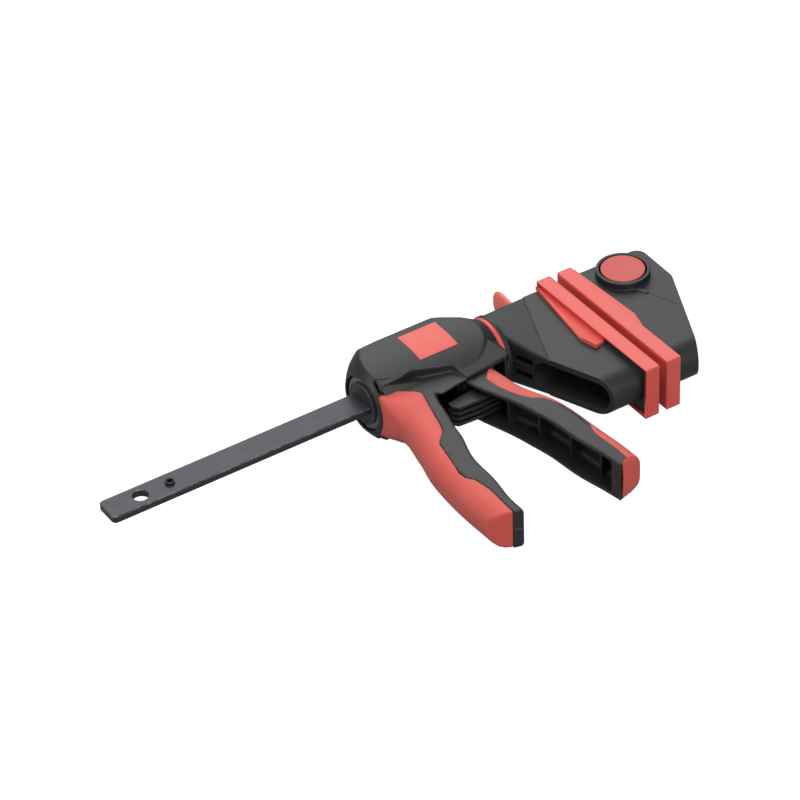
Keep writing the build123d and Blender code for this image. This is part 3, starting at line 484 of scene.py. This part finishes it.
lever_form = bmesh.new()
rings = []
for step in range(25):
    along = lever_from + (lever_tip - lever_from) * sin(radians(90 * step / 24))
    past = max(0.0, (along - lever_arch) / (lever_tip - lever_arch))
    width = lever_half * max(0.03, (1 - past ** 2.3)) ** (1 / 2.3)
    thick = lever_thick * max(0.06, 1 - past ** 3) ** 0.5
    ring = []
    for turn in range(ring_points):
        angle = radians(360 * turn / ring_points)
        side = abs(cos(angle)) ** 0.8 * (1 if cos(angle) > 0 else -1)
        depth = abs(sin(angle)) ** 0.9 * (1 if sin(angle) > 0 else -1)
        place = lever_foot + lever_along * along + lever_across * thick * depth
        ring.append(lever_form.verts.new(place + Vector((0, 0, width * side))))
    rings.append(ring)
for lower, upper in zip(rings, rings[1:]):
    for at in range(ring_points):
        after = (at + 1) % ring_points
        lever_form.faces.new((lower[at], lower[after], upper[after], upper[at]))
lever_form.faces.new(list(reversed(rings[0])))
lever_form.faces.new(rings[-1])
bmesh.ops.recalc_face_normals(lever_form, faces=lever_form.faces)
# the lever's paler red is painted light, for the light that comes through the thin plastic
thumb_lever = new_piece("thumb_lever", lever_form, painted_backlit_polypropylene, "release", 50)
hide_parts("release_lever")
print("thumb lever is", round(2000 * lever_half, 1), "mm wide")

# %% [markdown]
# ## The pad of the sliding jaw
# A thin wing at the back of each pad hooks over the jaw. On the sliding pad its top is hollow: it slopes down
# from the outer lip to the pad's rim. Only the corners at the rim have to move for that. A narrow web under
# the rim closes the gap that they leave.

# %% Sliding pad
pad_back = 305.2 * mm
wing_top, wing_low = 16.8 * mm, 14.2 * mm
web_size = (1.4, 68, 3.2)           # the web under the rim, which the sunk corners would lay bare

pad_form = closed_copy("sliding_pad")
sunk = [corner for corner in pad_form.verts
        if abs(abs(corner.co.z) - wing_top) < 0.05 * mm and corner.co.x > pad_back - 1.0 * mm]
for corner in sunk:
    corner.co.z = wing_low if corner.co.z > 0 else -wing_low
for way in (1, -1):
    web_middle = Vector((pad_back + 1.7 * mm, -15.7 * mm, way * 15.6 * mm))
    bmesh.ops.create_cube(pad_form, size=mm, matrix=Matrix.Translation(web_middle)
                          @ Matrix.Diagonal((*web_size, 1)))
hollow_pad = new_piece("hollow_pad", pad_form, red_polypropylene, "slider")
flat_faces = hollow_pad.modifiers.new("flat_faces", "WEIGHTED_NORMAL")
flat_faces.keep_sharp = True
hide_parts("sliding_pad")
print("sank", len(sunk), "corners of the wing")

# %% [markdown]
# ## The push button
# A dark gap runs round the button, and the collar ends in a rounded lip. The button is a copy whose corner
# points are drawn in to the smaller radius. The lip is a profile turned about the button's axis, which is
# what a lathe does, and bmesh has an operator for it.

# %% Button
button_axis = Vector((357.6, 0, 0)) * mm
button_radius = 14.25 * mm

button_form = closed_copy("lock_button")
for corner in button_form.verts:
    from_axis = Vector((corner.co.x - button_axis.x, corner.co.y, 0))
    if from_axis.length > button_radius:
        from_axis *= button_radius / from_axis.length
        corner.co.x, corner.co.y = button_axis.x + from_axis.x, from_axis.y
round_button = new_piece("round_button", button_form, thumbed_polypropylene, "lock")
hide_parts("lock_button")
print("button is", round(2000 * button_radius, 1), "mm across")


# %% Turned forms
def turned(profile_mm, axis_place, axis=Vector((0, 0, 1)), across=Vector((1, 0, 0)), steps=96):
    """Turn a closed profile of (radius, height) points about an axis."""
    form = bmesh.new()
    points = [form.verts.new(axis_place + (across * radius + axis * height) * mm)
              for radius, height in profile_mm]
    outline = [form.edges.new((points[at - 1], points[at])) for at in range(len(points))]
    bmesh.ops.spin(form, geom=points + outline, cent=axis_place, axis=axis, angle=radians(360),
                   steps=steps, use_merge=True)
    bmesh.ops.remove_doubles(form, verts=form.verts, dist=0.001 * mm)
    bmesh.ops.recalc_face_normals(form, faces=form.faces)
    return form


# %% Collar lip
lip_profile = [(15.35, 16.2), (15.35, 18.4), (15.6, 18.75), (17.2, 18.75), (17.5, 18.5), (17.5, 14.3),
               (17.9, 13.7), (16.4, 13.7), (16.0, 16.2)]
collar_lip = new_piece("collar_lip", turned(lip_profile, button_axis), black_polyamide, "frame_bar")
print("collar lip is", round(2 * max(radius for radius, height in lip_profile), 1), "mm across")

# %% [markdown]
# ## A ring of painted shade beside the swivel ring
# Only a narrow red crescent of the swivel ring shows, because a black ring of painted shade covers the rest of
# it:
# it stands for the shade between the ring and the jaw. The same turning helper makes it, this time about the
# bar.

# %% Painted shade ring
painted_shade_profile = [(17.5, 253.7), (21.5, 253.7), (21.9, 254.1), (21.9, 256.3), (21.5, 256.7), (17.5, 256.7)]
painted_shade_form = turned(painted_shade_profile, Vector(), Vector((1, 0, 0)), Vector((0, 0, 1)))
# a black ring of painted shade, which stands for the shade beside the swivel ring and covers part of it
painted_shade_ring = new_piece("painted_shade_ring", painted_shade_form, black_polyamide, "slider")
print("shoulder is", round(painted_shade_profile[-1][1] - painted_shade_profile[0][1], 1), "mm wide")

# %% [markdown]
# ## Cheeks of the housing
# At the front the crown runs down to the ring, and the recess above the grip tapers out to nothing there. A
# convex hull of a few points is enough for a form with flat sides like this one.

# %% Housing cheeks
crisp_degrees = 20                  # hulls have flat sides, so more of their edges stay sharp
cheek_wall = [(162.8, -9.4, 22.5), (164.9, -16.0, 21.5), (179.0, -15.6, 21.8), (179.0, -14.6, 22.1),
              (162.0, -15.6, 18.5), (163.0, -15.8, 14.0), (179.0, -15.6, 14.0), (170.0, -12.0, 14.0)]
cheek_ramp = [(165.2, -15.8, 20.6), (162.1, -15.6, 18.5), (163.1, -17.6, 17.4), (165.0, -19.6, 15.0),
              (190.0, -19.6, 14.7), (194.0, -15.0, 14.7), (166.0, -15.0, 14.0)]
for way, side in ((1, "upper"), (-1, "lower")):
    for part_name, points in (("wall", cheek_wall), ("ramp", cheek_ramp)):
        cheek_form = hull_form((x, y, way * z) for x, y, z in points)
        cheek = new_piece(f"housing_{part_name}_{side}", cheek_form, black_polyamide, "handle",
                          crisp_degrees)
        print(cheek.name, "has", len(cheek.data.polygons), "faces")

# %% [markdown]
# ## Relief of the fixed jaw
# A short rib runs out from the collar, and a faint ridge carries its line on towards the jaw's edge. Both are
# low prisms, so the hull of their corner points is all they need.

# %% Jaw relief
jaw_face = 13.8                     # height of the jaw's face
relief = {                          # each corner's height is counted from the jaw's face
    "collar_rib": [(353.6, -16.6, 1.3), (356.4, -16.0, 1.3), (357.2, -25.4, 0.8), (359.4, -24.8, 0.8),
                   (353.2, -16.4, -0.2), (356.8, -15.8, -0.2), (356.8, -27.0, -0.2), (360.2, -26.2, -0.2)],
    "jaw_ridge": [(358.8, -25.6, 0.2), (366.6, -46.6, 0.12), (358.3, -25.8, -0.1), (359.6, -25.4, -0.1),
                  (366.1, -46.8, -0.1), (367.4, -46.4, -0.1)],
}
for name, points in relief.items():
    relief_form = hull_form((x, y, jaw_face + above) for x, y, above in points)
    new_piece(name, relief_form, black_polyamide, "frame_bar", crisp_degrees)
print("relief pieces", list(relief))

# %% [markdown]
# ## Springs
# Three coil springs sit where joints move. A copy of each stands for its node and rides on the node's body.

# %% Springs
springs = {
    "lock_spring": ("button_coil", "frame_bar", "lock_press", (0, 0, 1), 6.0),
    "drive_spring": ("drive_coil", "slider", "drive_push", (1, 0, 0), 6.1),
    "brake_spring": ("brake_coil", "slider", "release_tilt", (1, 0, 0), 3.4),
}
for node_name, (name, body, joint, axis, travel) in springs.items():
    coil = new_piece(name, closed_copy(node_name), spring_wire, body)
    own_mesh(coil)
    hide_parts(node_name)

# %% [markdown]
# ## The plain plate
# A thin plate is let into the crown of the housing. The crown is curved, so the plate is a grid of points,
# each dropped onto the housing by a ray from above, and then lifted a little. Its edge goes down into the
# housing, so no gap shows under it.

# %% Plain plate
plate_from, plate_to = Vector((195.6, -10.0)), Vector((223.6, 15.5))
plate_proud = 0.25 * mm
plate_thick = 1.2 * mm
plate_steps = 24
above_all = 60 * mm                 # rays start from here, well above or below the clamp

housing = nodes["handle_upper"]
plate_form = bmesh.new()
surface_points = {}
for across in range(plate_steps + 1):
    for along in range(plate_steps + 1):
        x = (plate_from.x + (plate_to.x - plate_from.x) * across / plate_steps) * mm
        y = (plate_from.y + (plate_to.y - plate_from.y) * along / plate_steps) * mm
        found, place, normal, face = housing.ray_cast((x, y, above_all), (0, 0, -1))
        surface_points[across, along] = place + normal * plate_proud
        surface_points[across, along].z = min(surface_points[across, along].z, high.z)
tops = {key: plate_form.verts.new(place) for key, place in surface_points.items()}
for across in range(plate_steps):
    for along in range(plate_steps):
        plate_form.faces.new([tops[across, along], tops[across + 1, along], tops[across + 1, along + 1],
                              tops[across, along + 1]])
plate_edge = bmesh.ops.extrude_face_region(plate_form, geom=plate_form.faces[:], use_keep_orig=True)
for item in plate_edge["geom"]:
    if isinstance(item, bmesh.types.BMVert):
        item.co.z -= plate_thick
bmesh.ops.recalc_face_normals(plate_form, faces=plate_form.faces)
plain_plate = new_piece("plain_plate", plate_form, red_polypropylene, "handle")
print("plate is", [round(side, 1) for side in plate_to - plate_from], "mm")

# %% [markdown]
# ## Screws of the housing
# Five screws come up from the side that lies on the table and hold the two halves. Each is a turned pan head
# with a cross recess. Cutting the recess needs no boolean: the head's top is a disc of rings, and the points
# that fall inside the cross are pushed down.

# %% Screw head
head_radius, head_height = 2.9, 0.9 # a 5.8 mm head, as on a 3 mm screw for plastics
cross_long, cross_half, cross_deep = 1.7, 0.38, 0.7
head_sides = 48


def screw_head(place, normal):
    """A pan head that sits at a place on a surface and faces along the normal."""
    form = bmesh.new()
    top_radii = [0.15 * step for step in range(1, 16)] + [2.5, 2.7, 2.85, head_radius]
    outline = [(radius, head_height * (1 - (radius / head_radius) ** 2.6 * 0.55)) for radius in top_radii]
    outline.append((head_radius, -0.4))
    rings = []
    for radius, height in outline:
        ring = []
        for turn in range(head_sides):
            angle = radians(360 * turn / head_sides)
            x, y = radius * cos(angle), radius * sin(angle)
            in_cross = min(abs(x), abs(y)) < cross_half and max(abs(x), abs(y)) < cross_long
            ring.append(form.verts.new((x, y, height - cross_deep if in_cross else height)))
        rings.append(ring)
    form.faces.new(rings[0])
    for inner, outer in zip(rings, rings[1:]):
        for at in range(head_sides):
            after = (at + 1) % head_sides
            form.faces.new((inner[at], outer[at], outer[after], inner[after]))
    form.faces.new(list(reversed(rings[-1])))
    bmesh.ops.recalc_face_normals(form, faces=form.faces)
    seat = Matrix.Translation(place) @ normal.to_track_quat("Z", "Y").to_matrix().to_4x4()
    form.transform(seat @ Matrix.Scale(mm, 4))
    return form


# %% Screws
screw_places = [(176.0, -9.0), (232.0, -9.0), (175.5, -70.0), (167.0, -98.0), (168.0, -121.0)]

for number, (x, y) in enumerate(screw_places, 1):
    found, place, normal, face = nodes["handle_lower"].ray_cast((x * mm, y * mm, -above_all), (0, 0, 1))
    new_piece(f"housing_screw_{number}", screw_head(place, normal), machined_steel, "handle")
    print("screw", number, "seated:", found, "at z", round(1000 * place.z, 1))

# %% [markdown]
# ## Table and light
# The clamp lies on a white table. Four soft boxes light it. The largest stands behind it and makes the tops of
# the forms pale, and one hangs above. A small one on the left and a broad one in front fill in the sides, so
# that they are darker than the tops but not black. They are weak enough that a colour comes out about as it
# is written. The table's material is white to the camera and a little bright to a reflection, which costs
# no light on the object, and it keeps the object's shadow.

# %% Table
floor_drop = 0.3 * mm
floor_half = 6                      # half its side, in metres, so that it fills the view
floor_mesh = bpy.data.meshes.new("table")
floor_form = bmesh.new()
bmesh.ops.create_grid(floor_form, x_segments=1, y_segments=1, size=floor_half)
floor_form.to_mesh(floor_mesh)
floor_form.free()
table = bpy.data.objects.new("table", floor_mesh)
table.location.z = low.z - floor_drop
bpy.context.scene.collection.objects.link(table)

white_table, tree, surface = new_finish("white_table")
surface.inputs["Base Color"].default_value = linear("747474")
surface.inputs["Roughness"].default_value = 0.9
surface.inputs["Specular IOR Level"].default_value = 0.05
light_path = add_node(tree, "ShaderNodeLightPath")
mirrored = add_node(tree, "ShaderNodeMath", {0: light_path.outputs["Is Glossy Ray"], 1: 0.15},
                    operation="MULTIPLY")
glow = add_node(tree, "ShaderNodeMath", {0: light_path.outputs["Is Camera Ray"],
                                         1: mirrored.outputs["Value"]}, operation="ADD")
surface.inputs["Emission Color"].default_value = (1, 1, 1, 1)
tree.links.new(glow.outputs["Value"], surface.inputs["Emission Strength"])
floor_mesh.materials.append(white_table)
print("table at z", round(1000 * table.location.z, 1), "mm")

# %% Lamps and world
world = bpy.data.worlds.new("studio")
world.use_nodes = True
world.node_tree.nodes.clear()
sky = add_node(world.node_tree, "ShaderNodeBackground", {"Color": (1, 1, 1, 1), "Strength": 0.16})
add_node(world.node_tree, "ShaderNodeOutputWorld", {"Surface": sky.outputs["Background"]})
bpy.context.scene.world = world


def soft_box(name, place, size, power):
    """A square area lamp that looks at the middle of the clamp."""
    lamp_data = bpy.data.lights.new(name, "AREA")
    lamp_data.size = size
    lamp_data.energy = power
    lamp = bpy.data.objects.new(name, lamp_data)
    lamp.location = place
    lamp.rotation_euler = (camera_aim - Vector(place)).to_track_quat("-Z", "Y").to_euler()
    bpy.context.scene.collection.objects.link(lamp)
    print(name, "gives", power, "W")


soft_box("back_box", (0.7, 1.15, 1.2), 1.7, 21)
soft_box("top_box", (-0.2, -0.2, 1.6), 0.9, 12)
soft_box("left_box", (-1.1, 0.2, 0.45), 0.6, 5.5)
soft_box("front_box", (0.2, -1.5, 0.8), 0.9, 15)
